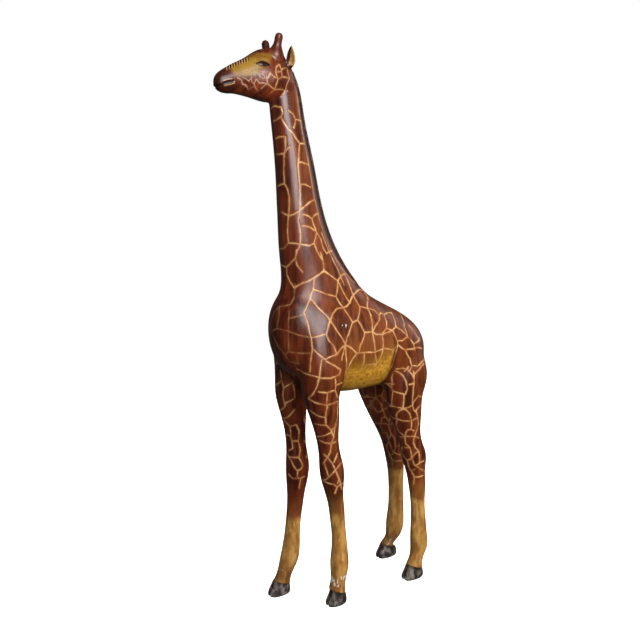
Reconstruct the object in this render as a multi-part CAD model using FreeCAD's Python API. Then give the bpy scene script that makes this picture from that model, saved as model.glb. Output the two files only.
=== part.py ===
"""Carved and painted wooden giraffe, standing, about 1.2 m tall.

The animal faces -Y, its left side is +X and it stands on the plane Z = 0.
It is built as a joiner would build it: a torso block with the shoulders and haunches,
a neck, a head, four legs and four hooves, all butted on flat joints and held by glued
dowels; the horns, ears, tail and mane strip are let into the carved blocks, and the
eyes are inset beads.
Every rounded body is a loft through stations, each a smooth closed section.
"""
import FreeCAD
import Part
import math
import os
from FreeCAD import Vector

# ---------------------------------------------------------------- driving sizes (mm)
NECK_JOINT = (-114.0, 722.0)  # (Y, Z) on the flat joint between torso block and neck
NECK_JOINT_NORMAL = (-0.3, 0.954)
FRONT_LEG_JOINT_Z = 430.0     # flat joint between torso block and front legs
REAR_LEG_JOINT_Z = 400.0      # flat joint between torso block and rear legs
THROAT = (-228.0, 1047.0)     # the head joint runs from here ...
NAPE = (-150.0, 1096.0)       # ... to here, as (Y, Z)
HOOF_FRONT_Z = 36.0           # height of the hoof's upper edge at the toe ...
HOOF_HEEL_Z = 20.0            # ... and at the heel

LEG_DOWEL = (10.0, 90.0)      # radius, length
HOOF_DOWEL = (5.0, 44.0)
NECK_DOWEL = (10.0, 100.0)
HEAD_DOWEL = (9.0, 70.0)
GLUE = 0.1                    # radial glue gap round a dowel
END_GAP = 1.5                 # empty end of each dowel hole

MANE_WIDTH = 10.0
MANE_PROUD = 7.0              # the mane stands this far out of the neck, and as deep in it
MANE_CUT_PITCH = 6.0
MANE_CUT_WIDTH = 1.0
MANE_CUT_DEPTH = 2.0
MANE_CUT_SLANT = 35.0         # degrees

EYE = (25.0, -256.0, 1116.0)
EYE_RADIUS = 8.0
SECTION_POINTS = 20


# ---------------------------------------------------------------- tools
def section(x, y, z, a, b, lean=0.0, egg=0.0, power=2.0, turn=0.0):
    """Closed smooth wire round (x, y, z), half width a across and half depth b.

    lean turns its plane about X: 0 is level (b along +Y), 90 is upright (b along +Z).
    egg above 0 widens the +b side. power above 2 squares the corners.
    turn swings a level section about Z, in degrees."""
    up = Vector(0, math.cos(math.radians(lean)), math.sin(math.radians(lean)))
    across = Vector(1, 0, 0)
    if turn:
        spin = FreeCAD.Rotation(Vector(0, 0, 1), turn)
        up = spin.multVec(up)
        across = spin.multVec(across)
    points = []
    for i in range(SECTION_POINTS):
        t = 2 * math.pi * i / SECTION_POINTS
        c, s = math.cos(t), math.sin(t)
        u = math.copysign(abs(c) ** (2 / power), c) * a * (1 + egg * s)
        v = math.copysign(abs(s) ** (2 / power), s) * b
        points.append(Vector(x, y, z) + across * u + up * v)
    curve = Part.BSplineCurve()
    curve.interpolate(points, PeriodicFlag=True)
    return Part.Wire([curve.toShape()])


def loft(stations):
    """One solid through the stations, each the arguments of section()."""
    return Part.makeLoft([section(*s) for s in stations], True, False)


def mirrored(stations):
    """The same stations on the animal's other side."""
    return [(-s[0],) + tuple(s[1:]) for s in stations]


def dowel(base, axis, radius, length):
    """A round dowel centred on base, along axis."""
    axis = Vector(*axis).normalize()
    start = Vector(*base) - axis * (length / 2)
    return Part.makeCylinder(radius, length, start, axis)


def dowel_hole(base, axis, radius, length):
    """The drilled hole for that dowel, with glue room round it and at its ends."""
    return dowel(base, axis, radius + GLUE, length + 2 * END_GAP)


def half_space(y, z, normal_y, normal_z, size=900.0):
    """A large block that fills the side of a plane that (0, normal_y, normal_z) points to."""
    block = Part.makeBox(size, size, size, Vector(-size / 2, -size / 2, 0))
    normal = Vector(0, normal_y, normal_z)
    block.rotate(Vector(0, 0, 0), Vector(1, 0, 0), math.degrees(math.atan2(-normal.y, normal.z)))
    block.translate(Vector(0, y, z))
    return block


def save(name, shape):
    shape.exportStep(os.path.join("parts", name + ".step"))


# ---------------------------------------------------------------- stations
# x, y, z, half width, half depth, lean, egg, power
TORSO = [
    (0, -220, 606, 9, 11, 90),
    (0, -215, 604, 27, 36, 90),
    (0, -203, 601, 47, 68, 90),
    (0, -175, 598, 68, 94, 90, -0.04),
    (0, -135, 592, 82, 110, 90, -0.08),
    (0, -85, 582, 90, 120, 90, -0.10),
    (0, -30, 575, 93, 119, 90, -0.10),
    (0, 30, 563, 92, 103, 90, -0.10),
    (0, 85, 552, 87, 90, 90, -0.10),
    (0, 125, 547, 78, 76, 90, -0.10),
    (0, 153, 547, 60, 57, 90, -0.08),
    (0, 169, 548, 39, 37, 90),
    (0, 176, 549, 12, 13, 90),
]

NECK = [
    (0, -81, 640, 66, 117, 0, -0.06),
    (0, -92, 678, 62, 104, 0, -0.08),
    (0, -108, 711, 55, 84, 0, -0.10),
    (0, -131, 765, 47, 67, 0, -0.12),
    (0, -146, 820, 42, 54.5, 0, -0.12),
    (0, -156.5, 875, 37, 47, 0, -0.12),
    (0, -167, 945, 33, 41, 0, -0.12),
    (0, -177.5, 1000, 30, 36.5, 0, -0.12),
    (0, -185.5, 1045, 28, 34, 0, -0.12),
    (0, -190.5, 1085, 26, 30.5, 0, -0.10),
    (0, -193, 1108, 20, 24),
]

HEAD = [
    (0, -343, 1073, 6, 7, 106),
    (0, -339, 1075, 12.5, 14, 107),
    (0, -328, 1079, 17.5, 20.5, 108),
    (0, -312, 1085, 20, 25, 109),
    (0, -295, 1089.5, 23, 30.5, 110, 0.04),
    (0, -275, 1093.5, 28, 37, 110, 0.06),
    (0, -252, 1099, 33, 46, 110, 0.04),
    (0, -228, 1107, 34.5, 51, 110),
    (0, -204, 1113, 31, 45.5, 108),
    (0, -186, 1115, 24, 32, 106),
    (0, -177, 1116, 9, 12, 104),
]

FRONT_LEFT = [
    (38, -120, 655, 26, 30),
    (47, -129, 605, 40, 48),
    (53, -134, 545, 44, 53),
    (56, -137, 485, 40, 45),
    (56, -134, 440, 33, 35.5),
    (55, -125, 398, 26, 28.5),
    (54, -118, 355, 21, 24),
    (54, -112, 322, 23.5, 26),
    (54, -108, 293, 24.5, 27),
    (53, -104, 265, 21, 23),
    (52, -97, 229, 17, 18.5),
    (52, -92, 190, 16, 17),
    (51, -87, 150, 15.5, 17),
    (50, -85, 118, 17, 19.5),
    (50, -85, 92, 19, 21.5),
    (50, -86, 68, 17, 19.5),
    (49, -89, 45, 16, 18),
    (49, -91, 8, 16, 18),
]

FRONT_RIGHT = [
    (-38, -120, 655, 26, 30),
    (-47, -127, 605, 39, 46),
    (-53, -135, 545, 42, 47),
    (-56, -138, 485, 37, 39),
    (-56, -138, 436, 31, 35),
    (-55, -133, 395, 26, 28),
    (-54, -129, 345, 21.5, 23.5),
    (-54, -126, 310, 24, 25.5),
    (-54, -125, 280, 25.5, 27),
    (-54, -128, 240, 21, 22.5),
    (-54, -131, 208, 17.5, 19.5),
    (-54, -136, 168, 16, 18),
    (-54, -140, 130, 17, 19),
    (-55, -143, 98, 19, 21.5),
    (-56, -147, 76, 19, 22.5),
    (-57, -153, 58, 17, 20.5),
    (-58, -161, 40, 16, 19),
    (-58, -165, 8, 16, 19),
]

REAR_LEFT = [
    (28, 92, 602, 24, 30),
    (38, 100, 565, 38, 49),
    (48, 101, 515, 45, 52),
    (55, 98, 460, 42, 51),
    (58, 95, 412, 34, 42.5),
    (59, 102, 372, 28, 34),
    (60, 110, 340, 23, 29),
    (60, 117, 318, 23, 31),
    (60, 123, 298, 24, 32.5),
    (60, 128, 270, 21, 28),
    (60, 133, 238, 18, 23.5),
    (60, 137, 195, 16, 19.5),
    (60, 140, 148, 16, 19),
    (60, 142, 108, 18, 21.5),
    (60, 144, 84, 19, 23),
    (60, 141, 62, 16.5, 21),
    (60, 134, 45, 16, 18.5),
    (60, 131, 8, 16, 18.5),
]

REAR_RIGHT = [
    (-28, 92, 602, 24, 30),
    (-38, 98, 565, 38, 46),
    (-48, 102, 515, 45, 52),
    (-55, 101, 460, 42, 51),
    (-58, 108, 420, 34, 42),
    (-60, 129, 368, 28, 34),
    (-61, 149, 325, 23, 28),
    (-61, 162, 295, 22, 26),
    (-62, 171, 265, 21, 25),
    (-62, 178, 228, 19, 23.5),
    (-62, 180, 190, 17, 21.5),
    (-62, 181, 150, 17, 21.5),
    (-62, 180, 115, 18, 22.5),
    (-62, 178, 86, 20, 25),
    (-62, 176, 64, 18.5, 24),
    (-62, 168, 46, 16, 20),
    (-62, 162, 8, 16, 20),
]

# x, y of the middle of the sole, half width, half length
HOOVES = {
    "front_left": (48, -92, 16, 24),
    "front_right": (-60, -171, 16, 26),
    "rear_left": (58, 126, 16.5, 28.5),
    "rear_right": (-64, 151, 16.5, 29),
}
HOOF_TOP_SHIFT = 5.0          # the hoof's top sits this far behind the middle of its sole

LEGS = {
    "front_left": (FRONT_LEFT, FRONT_LEG_JOINT_Z),
    "front_right": (FRONT_RIGHT, FRONT_LEG_JOINT_Z),
    "rear_left": (REAR_LEFT, REAR_LEG_JOINT_Z),
    "rear_right": (REAR_RIGHT, REAR_LEG_JOINT_Z),
}

MANE_TOP_Z = 1122.0
MANE_END_Z = 690.0

HORN = [                      # height above the foot, radius of the turned horn
    (0.0, 14.0),
    (8.0, 11.5),
    (18.0, 9.0),
    (27.0, 8.0),
    (35.0, 8.2),
    (40.0, 7.0),
    (42.5, 4.2),
]
HORN_TOP = 43.5
HORN_BASE = (15.0, -219.5, 1143.0)
HORN_AXIS = (10.5, 2.0, 33.0)

EAR_BASE = (27.0, -192.0, 1124.0)
EAR_TIP = (46.0, -202.0, 1160.0)

TAIL = [
    (0, 156, 580, 4, 4, 68),
    (0, 170, 581, 6.5, 6.5, 50),
    (0, 180, 569, 6.5, 6.5, 22),
    (0, 183.5, 540, 6, 6, 3),
    (0, 182, 500, 5.5, 5, 0),
    (0, 180, 465, 5.5, 5, 0),
    (0, 180, 440, 8, 6.5, 0),
    (0, 179, 415, 9, 7, 0),
    (0, 178, 392, 6, 5, 0),
    (0, 178, 380, 2, 2, 0),
]


# ---------------------------------------------------------------- pieces
def leg_centre(stations, z):
    """Centre of a leg at height z, between its stations."""
    for upper, lower in zip(stations, stations[1:]):
        if lower[2] <= z <= upper[2]:
            t = (z - lower[2]) / (upper[2] - lower[2])
            return Vector(*[lower[i] + t * (upper[i] - lower[i]) for i in range(3)])
    raise ValueError("no leg at this height")


def hoof(name):
    """A cloven hoof block: flat sole, rounded toe, a cleft from the toe to the heel."""
    x, y, a, b = HOOVES[name]
    back = HOOF_TOP_SHIFT
    body = loft([
        (x, y, 0, a * 0.97, b * 0.97, 0, 0, 2.3),
        (x, y, 5, a * 1.06, b * 1.04, 0, 0, 2.3),
        (x, y + back * 0.3, 16, a * 1.02, b * 0.95, 0, 0, 2.2),
        (x, y + back * 0.8, 28, a * 0.95, b * 0.8, 0, 0, 2.1),
        (x, y + back * 1.2, 44, a * 0.88, b * 0.7, 0, 0, 2.0),
    ])
    cleft = loft([
        (x, y - b - 4, -6, 3.0, 9, 0),
        (x, y - b * 0.8, 12, 2.2, 7, 0),
        (x, y - b * 0.62, 26, 0.7, 3, 0),
    ])
    return body.cut(cleft)


def coronet_plane(name):
    """A point and the slope of the flat joint between leg and hoof."""
    x, y, a, b = HOOVES[name]
    return y + HOOF_TOP_SHIFT * 0.5, (HOOF_FRONT_Z - HOOF_HEEL_Z) / (2 * b)


def above(y, z, slope):
    """Everything above the plane through (y, z) that falls by slope per mm towards +Y."""
    return half_space(y, z, slope, 1.0)


def horn(side):
    """A turned horn with a knob at its tip and a round tenon at its foot."""
    x, y, z = HORN_BASE
    axis = Vector(HORN_AXIS[0] * side, HORN_AXIS[1], HORN_AXIS[2]).normalize()
    outline = Part.BSplineCurve()
    outline.interpolate([Vector(r, 0, h) for h, r in HORN] + [Vector(0, 0, HORN_TOP)])
    edge = outline.toShape()
    foot = Part.makeLine(Vector(0, 0, 0), Vector(HORN[0][1], 0, 0))
    spine = Part.makeLine(Vector(0, 0, HORN_TOP), Vector(0, 0, 0))
    face = Part.Face(Part.Wire([foot, edge, spine]))
    body = face.revolve(Vector(0, 0, 0), Vector(0, 0, 1), 360)
    tenon = Part.makeCylinder(5.0, 16.0, Vector(0, 0, -14.0))
    body = body.fuse(tenon).removeSplitter()
    body.Placement = FreeCAD.Placement(
        Vector(x * side, y, z), FreeCAD.Rotation(Vector(0, 0, 1), axis))
    hole = Part.makeCylinder(5.0 + GLUE, 15.5, Vector(0, 0, -15.5))
    hole.Placement = body.Placement
    return body, hole


def ear(side):
    """A leaf-shaped ear, cupped towards the front and outside, with a round tenon."""
    base = Vector(EAR_BASE[0] * side, EAR_BASE[1], EAR_BASE[2])
    tip = Vector(EAR_TIP[0] * side, EAR_TIP[1], EAR_TIP[2])
    axis = tip - base
    length = axis.Length
    leaf = loft_along([
        (0.0, 5.5, 5.0),
        (0.15, 8.5, 5.5),
        (0.4, 10.0, 5.5),
        (0.65, 7.5, 4.6),
        (0.87, 3.6, 3.0),
        (1.0, 0.7, 0.8),
    ], length)
    cup = loft_along([
        (0.1, 1.5, 1.2),
        (0.24, 5.6, 3.4),
        (0.45, 7.4, 4.2),
        (0.65, 5.4, 3.4),
        (0.86, 1.4, 1.2),
    ], length)
    cup.translate(Vector(0, -4.6, 0))
    leaf = leaf.cut(cup)
    tenon = Part.makeCylinder(3.0, 14.0, Vector(0, 0, -10.0))
    leaf = leaf.fuse(tenon).removeSplitter()
    turn = FreeCAD.Rotation(Vector(0.8, 0.6 * side, 0.0), Vector(0, 0, 0), axis, "ZXY")
    leaf.Placement = FreeCAD.Placement(base, turn)
    hole = Part.makeCylinder(3.0 + GLUE, 11.5, Vector(0, 0, -11.5))
    hole.Placement = leaf.Placement
    return leaf, hole


def loft_along(rows, length):
    """A loft up the Z axis through (fraction of length, half width, half thickness)."""
    return loft([(0, 0, t * length, a, b, 0) for t, a, b in rows])


def back_line():
    """The line down the back of the neck: (y, z) and the lean of a section square to it."""
    spots = [(y + b, z) for _, y, z, _, b, *_ in reversed(NECK)]
    spots = [(spots[0][0] - 7, MANE_TOP_Z)] + [p for p in spots if p[1] > MANE_END_Z + 8]
    last = [(y + b, z) for _, y, z, _, b, *_ in NECK if z < MANE_END_Z][-1]
    t = (MANE_END_Z - last[1]) / (spots[-1][1] - last[1])
    spots.append((last[0] + t * (spots[-1][0] - last[0]), MANE_END_Z))
    rows = []
    for i, (y, z) in enumerate(spots):
        before = spots[max(i - 1, 0)]
        after = spots[min(i + 1, len(spots) - 1)]
        run = Vector(0, after[0] - before[0], after[1] - before[1]).normalize()
        rows.append((y, z, math.degrees(math.atan2(-run.y, -run.z)) * -1))
    return rows


def mane():
    """A thin ridge let into the back of the neck, cut across by slanting saw lines."""
    rows = back_line()
    last = len(rows) - 1
    strip = loft([
        (0, y, z, MANE_WIDTH / 2, MANE_PROUD * (0.5 if i == last else 1), lean, 0, 4.0)
        for i, (y, z, lean) in enumerate(rows)])
    cuts = []
    for (y0, z0, lean0), (y1, z1, lean1) in zip(rows, rows[1:]):
        count = max(1, round(math.hypot(y1 - y0, z1 - z0) / MANE_CUT_PITCH))
        for i in range(count):
            t = (i + 0.5) / count
            lean = lean0 + t * (lean1 - lean0)
            cut = Part.makeBox(MANE_WIDTH + 4, 8.0, MANE_CUT_WIDTH, Vector(-MANE_WIDTH / 2 - 2, 0, 0))
            cut.rotate(Vector(0, 0, 0), Vector(1, 0, 0), lean + MANE_CUT_SLANT)
            out = Vector(0, math.cos(math.radians(lean)), math.sin(math.radians(lean)))
            middle = Vector(0, y0 + t * (y1 - y0), z0 + t * (z1 - z0))
            cut.translate(middle + out * (MANE_PROUD - MANE_CUT_DEPTH))
            cuts.append(cut)
    return strip, strip.cut(Part.makeCompound(cuts))


def only(shape):
    """The single solid of a boolean's result."""
    solids = sorted(shape.Solids, key=lambda s: s.Volume, reverse=True)
    if len(solids) > 1 and solids[1].Volume > 1.0:
        print("warning: stray solids", [round(s.Volume, 1) for s in solids])
    return solids[0]


def main():
    os.makedirs("parts", exist_ok=True)
    nodes = {}

    # the carved blank, before it is divided on its flat joints
    legs = {name: loft(stations) for name, (stations, _) in LEGS.items()}
    neck = loft(NECK)
    head = loft(HEAD)
    torso = loft(TORSO)

    # neck joint: square across the neck's lean
    neck_y, neck_z = NECK_JOINT
    over_neck = half_space(neck_y, neck_z, *NECK_JOINT_NORMAL)
    torso = torso.cut(over_neck).fuse(neck.cut(over_neck))
    for name, (stations, z) in LEGS.items():
        over = half_space(0, z, 0, 1)
        torso = torso.fuse(legs[name].common(over))
        lower_plane = coronet_plane(name)
        legs[name] = legs[name].cut(over).common(
            above(lower_plane[0], (HOOF_FRONT_Z + HOOF_HEEL_Z) / 2, lower_plane[1]))

    # head joint: from the throat to the nape
    run = Vector(0, NAPE[0] - THROAT[0], NAPE[1] - THROAT[1]).normalize()
    over_throat = half_space(THROAT[0], THROAT[1], -run.z, run.y)
    neck_only = neck.common(over_neck)
    neck = neck_only.cut(over_throat)
    head = head.common(over_throat).fuse(neck_only.common(over_throat))

    # dowels across the flat joints
    leg_dowels, hoof_dowels = [], []
    holes = {"torso": [], "neck": [], "head": []}
    for name, (stations, z) in LEGS.items():
        r, length = LEG_DOWEL
        axis = leg_centre(stations, z + 40) - leg_centre(stations, z - 40)
        base = leg_centre(stations, z)
        leg_dowels.append(dowel(base, axis, r, length))
        hole = dowel_hole(base, axis, r, length)
        holes["torso"].append(hole)
        holes[name] = [hole]
        r, length = HOOF_DOWEL
        x, y, a, b = HOOVES[name]
        base = Vector(x, y + HOOF_TOP_SHIFT * 0.7, 27)
        axis = leg_centre(stations, 48) - base
        hoof_dowels.append(dowel(base, axis, r, length))
        hole = dowel_hole(base, axis, r, length)
        holes[name].append(hole)
        body = hoof(name).cut(
            above(coronet_plane(name)[0], (HOOF_FRONT_Z + HOOF_HEEL_Z) / 2, coronet_plane(name)[1]))
        nodes[name + "_hoof"] = only(body.cut(hole))

    r, length = NECK_DOWEL
    base = (0, neck_y, neck_z)
    axis = (0,) + NECK_JOINT_NORMAL
    neck_dowel = dowel(base, axis, r, length)
    holes["torso"].append(dowel_hole(base, axis, r, length))
    holes["neck"].append(dowel_hole(base, axis, r, length))
    r, length = HEAD_DOWEL
    base = (0, (THROAT[0] + NAPE[0]) / 2, (THROAT[1] + NAPE[1]) / 2)
    axis = (0, -run.z * 0.8, run.y)
    head_dowel = dowel(base, axis, r, length)
    holes["neck"].append(dowel_hole(base, axis, r, length))
    holes["head"].append(dowel_hole(base, axis, r, length))

    # mane, horns, ears, eyes, tail
    strip, mane_body = mane()
    torso = torso.cut(strip)
    neck = neck.cut(strip)
    head = head.cut(strip)
    nodes["mane"] = only(mane_body)
    for side, word in ((1, "left"), (-1, "right")):
        body, hole = horn(side)
        nodes[word + "_horn"] = only(body.cut(head))
        holes["head"].append(hole)
        body, hole = ear(side)
        nodes[word + "_ear"] = only(body.cut(head))
        holes["head"].append(hole)
        ball = Part.makeSphere(EYE_RADIUS, Vector(EYE[0] * side, EYE[1], EYE[2]))
        nodes[word + "_eye"] = ball
        holes["head"].append(Part.makeSphere(EYE_RADIUS, Vector(EYE[0] * side, EYE[1], EYE[2])))

    tail = loft(TAIL)
    tenon = Part.makeCylinder(4.0, 26.0, Vector(0, TAIL[2][1], TAIL[2][2]), Vector(0, -1, 0.35))
    tail_hole = Part.makeCylinder(4.0 + GLUE, 27.5, Vector(0, TAIL[2][1], TAIL[2][2]), Vector(0, -1, 0.35))
    holes["torso"] += [tail, tail_hole]

    nodes["torso"] = only(torso.cut(Part.makeCompound(holes["torso"])))
    nodes["neck"] = only(neck.cut(Part.makeCompound(holes["neck"])))
    nodes["head"] = only(head.cut(Part.makeCompound(holes["head"])))
    for name in LEGS:
        nodes[name + "_leg"] = only(legs[name].cut(Part.makeCompound(holes[name])))
    nodes["tail"] = only(tail.fuse(tenon).removeSplitter())
    nodes["leg_dowels"] = Part.makeCompound(leg_dowels)
    nodes["hoof_dowels"] = Part.makeCompound(hoof_dowels)
    nodes["neck_dowel"] = neck_dowel
    nodes["head_dowel"] = head_dowel

    box = Part.makeCompound(list(nodes.values())).optimalBoundingBox(False, False)
    shift = Vector(-(box.XMin + box.XMax) / 2, -(box.YMin + box.YMax) / 2, -box.ZMin)
    for name, shape in nodes.items():
        shape.translate(shift)
        save(name, shape)
        size = shape.optimalBoundingBox(False, False)
        print("%-18s %s solids %d %6.1f %6.1f %6.1f" % (
            name, shape.isValid(), len(shape.Solids), size.XLength, size.YLength, size.ZLength))
    print("shift", shift, "box", box.XLength, box.YLength, box.ZLength)


main()
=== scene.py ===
"""A carved and painted wooden giraffe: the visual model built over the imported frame."""
import math

import bmesh
import bpy
import numpy as np
from mathutils import Matrix, Vector, noise
from mathutils.bvhtree import BVHTree
from mathutils.kdtree import KDTree


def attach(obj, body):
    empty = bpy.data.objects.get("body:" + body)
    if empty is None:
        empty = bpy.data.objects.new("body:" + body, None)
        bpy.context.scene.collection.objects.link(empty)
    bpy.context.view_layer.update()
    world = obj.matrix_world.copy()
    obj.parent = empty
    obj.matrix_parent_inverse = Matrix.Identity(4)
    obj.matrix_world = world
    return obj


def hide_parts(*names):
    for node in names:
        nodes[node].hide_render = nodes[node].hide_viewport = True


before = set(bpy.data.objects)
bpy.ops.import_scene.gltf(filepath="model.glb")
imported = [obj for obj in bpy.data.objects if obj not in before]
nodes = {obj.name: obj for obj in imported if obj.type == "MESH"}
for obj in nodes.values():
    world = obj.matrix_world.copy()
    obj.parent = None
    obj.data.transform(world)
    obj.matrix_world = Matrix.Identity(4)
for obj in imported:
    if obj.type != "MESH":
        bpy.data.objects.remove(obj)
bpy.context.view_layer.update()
MM = 0.001
SHIFT = np.array([-0.872, 70.952, 0.0])      # drawing coordinates to row coordinates, mm
VOXEL = 0.0016          # m, the size of the skin's faces
RELAX_STEP = 0.6                             # share of the way to the neighbours' mean
SOFTEN_ROUNDS = 26
BARREL_ROUNDS = 140
GROOVE_DEPTH, GROOVE_WIDTH = 0.5, 1.5        # mm, of a scored line
CLEFT_DEPTH, CLEFT_WIDTH = 1.8, 2.6          # mm, between a hoof's toes
TICK_PITCH = 5.4                             # mm, between the ticks on the nose
HORN_CUT_RISE, HORN_CUT_REACH = 11, 15.5     # mm, where a horn is parted from the skull
FAR_OFF = 99.0                               # mm, for a distance that isn't needed
rng = np.random.default_rng(11)

# where the blocks meet and where horns and ears are rooted, in drawing coordinates (mm)
FRONT_JOINT, REAR_JOINT = 430.0, 400.0
NECK_JOINT = ((-114.0, 722.0), (-0.3, 0.954))
THROAT, NAPE = (-228.0, 1047.0), (-150.0, 1096.0)
HORN_BASE = np.array([15.0, -219.5, 1143.0])
HORN_AXIS = np.array([10.5, 2.0, 33.0])
EAR_BASE = np.array([27.0, -192.0, 1124.0])
EAR_TIP = np.array([46.0, -202.0, 1160.0])


# ------------------------------------------------------------------ small helpers
def step(a, b, x):
    """0 below a, 1 above b, smooth between; a may be larger than b."""
    t = np.clip((x - a) / (b - a), 0.0, 1.0)
    return t * t * (3 - 2 * t)


def wave(points, size, offset=0.0):
    """Smooth noise in -1..1 at points (mm) with features of about size mm."""
    shift = Vector((offset, offset * 1.7, -offset))
    return np.array([noise.noise(Vector(p) / size + shift) for p in points.tolist()])


def mesh_arrays(mesh):
    co = np.empty(len(mesh.vertices) * 3, np.float32)
    mesh.vertices.foreach_get("co", co)
    ed = np.empty(len(mesh.edges) * 2, np.int32)
    mesh.edges.foreach_get("vertices", ed)
    return co.reshape(-1, 3).astype(float), ed.reshape(-1, 2)


def relax(co, edges, rounds, weight=None):
    """Laplacian smoothing, scaled point by point where weight is given."""
    n = len(co)
    a, b = edges[:, 0], edges[:, 1]
    degree = np.maximum(np.bincount(a, minlength=n) + np.bincount(b, minlength=n), 1)[:, None]
    w = 1.0 if weight is None else weight[:, None]

    def mean(v):
        cols = [np.bincount(a, v[b, k], n) + np.bincount(b, v[a, k], n) for k in range(v.shape[1])]
        return np.stack(cols, 1) / degree
    for _ in range(rounds):
        co = co + RELAX_STEP * w * (mean(co) - co)
    return co


def normals_of(mesh, co):
    mesh.vertices.foreach_set("co", co.astype(np.float32).ravel())
    mesh.update()
    out = np.empty(len(mesh.vertices) * 3, np.float32)
    mesh.vertex_normals.foreach_get("vector", out)
    return out.reshape(-1, 3).astype(float)


def remeshed(objects, voxel, name):
    """One mesh that wraps the union of the objects' meshes."""
    bm = bmesh.new()
    for o in objects:
        bm.from_mesh(o.data)
    joined = bpy.data.meshes.new(name + "_in")
    bm.to_mesh(joined)
    bm.free()
    temp = bpy.data.objects.new(name + "_tmp", joined)
    bpy.context.scene.collection.objects.link(temp)
    mod = temp.modifiers.new("wrap", "REMESH")
    mod.mode = "VOXEL"
    mod.voxel_size = voxel
    graph = bpy.context.evaluated_depsgraph_get()
    out = bpy.data.meshes.new_from_object(temp.evaluated_get(graph))
    out.name = name
    bpy.data.objects.remove(temp)
    bpy.data.meshes.remove(joined)
    return out


def largest_part(mesh):
    """Drops every shell but the one with the most vertices, such as sealed dowel holes."""
    co, edges = mesh_arrays(mesh)
    label = np.arange(len(co))
    while True:
        low = np.minimum(label[edges[:, 0]], label[edges[:, 1]])
        new = label.copy()
        np.minimum.at(new, edges[:, 0], low)
        np.minimum.at(new, edges[:, 1], low)
        new = new[new]
        new = new[new]
        if (new == label).all():
            break
        label = new
    names, counts = np.unique(label, return_counts=True)
    keep = names[counts.argmax()]
    bm = bmesh.new()
    bm.from_mesh(mesh)
    bm.verts.ensure_lookup_table()
    bmesh.ops.delete(bm, geom=[bm.verts[i] for i in np.nonzero(label != keep)[0]], context="VERTS")
    bm.to_mesh(mesh)
    bm.free()
    return mesh


def make_object(name, mesh, material, *nodes, slot=None):
    obj = bpy.data.objects.new(name, mesh)
    bpy.context.scene.collection.objects.link(obj)
    mesh.materials.clear()
    mesh.materials.append(material)
    mesh.polygons.foreach_set("use_smooth", [True] * len(mesh.polygons))
    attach(obj, "root")
    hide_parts(*nodes)
    return obj


def put_attribute(mesh, name, values):
    layer = mesh.attributes.new(name, "FLOAT", "POINT")
    layer.data.foreach_set("value", np.asarray(values, np.float32))


def horn(s):
    """The foot of a horn and its unit axis; s is 1 on the left and -1 on the right."""
    axis = HORN_AXIS * (s, 1, 1)
    return HORN_BASE * (s, 1, 1), axis / np.linalg.norm(axis)


def ear(s):
    """The root of an ear, its unit axis and its length."""
    base = EAR_BASE * (s, 1, 1)
    along = EAR_TIP * (s, 1, 1) - base
    length = np.linalg.norm(along)
    return base, along / length, length


def along_axis(points, foot, axis):
    """How far each point is along an axis, and its offset from it."""
    rise = (points - foot) @ axis
    return rise, points - foot - rise[:, None] * axis


def gap_to_mane(points, band):
    """Distance of the points in the band to the mane. It is FAR_OFF for all others."""
    gap = np.full(len(points), FAR_OFF)
    for i in np.nonzero(band)[0]:
        gap[i] = mane_tree.find(points[i])[2]
    return gap


# ------------------------------------------------------------------ the scored line drawing
# Charts turn flat drawing coordinates (mm) into places on the carved surface.
# "flank": (y, z) seen square from the side.  A tube chart: (u, z), where u runs from -1 to 1
# across the neck or leg as seen from the animal's left front.
FLANK = """
-154 687 -162 667 -180 640 -176 614 -173 591 -174 570 -178 545 -179 522
-173 591 -150 597
-174 570 -165 558 -155 548
-162 667 -150 647 -134 624
-134 624 -142 609 -147 596 -143 585 -131 571 -128 558
-134 624 -128 614 -119 601 -108 587 -100 573
-134 624 -124 637 -110 646 -93 647 -83 650 -72 657 -65 665 -57 672
-93 647 -86 634 -78 617 -85 606 -96 586 -100 573
-105 670 -98 655 -93 647
-154 687 -130 677 -105 670
-154 687 -151 710 -128 724 -115 715 -96 703 -77 716 -67 717
-128 724 -129 744 -133 762
-96 703 -100 685 -105 670
-96 703 -84 678 -72 657
-67 717 -63 702 -60 688 -57 672
-57 672 -40 680 -23 683 -10 680 -6 666 -20 655 -28 644
-57 672 -52 660 -48 648 -28 644
-48 648 -56 633 -64 621 -78 617
-64 621 -56 607 -51 595 -30 595 -18 589 -3 588
-51 595 -53 586 -64 567 -66 554
-30 595 -28 584 -25 564 -24 552 -20 538 -14 526
-30 595 -18 607 -2 618 3 628 -8 639 -28 644
-28 644 -24 630 -26 613 -30 595
3 628 12 632 21 628 38 631 54 630 51 612 47 601
21 628 20 613 14 600
14 600 -1 590
-3 588 14 591 32 594 47 601
14 600 32 594
32 594 38 582 42 571 43 562
42 571 58 570 80 578 64 592 47 601
80 578 97 560 98 546
80 578 78 598 86 612 96 630
98 560 112 563 126 566 112 580 100 600
-3 588 -1 572 -2 558 -6 542 -14 526 -28 512 -40 506
-100 573 -86 565 -72 553 -50 553 -24 552 -2 558 12 556 25 553
-100 573 -112 566 -126 556 -140 553 -155 548
-100 573 -99 551 -95 527 -98 508
-100 573 -106 557 -113 543
-72 553 -83 537 -90 520 -97 508
-53 552 -51 532 -56 517 -64 508
-48 524 -31 526 -14 526
43 562 29 553 24 539 18 528
-185 690 -175 697 -163 703 -151 710
43 562 37 548 32 530 30 512
43 562 64 550 82 527 84 513 79 502
64 550 90 549 112 551 132 546
84 513 100 510 116 518 134 522
"""
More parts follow.
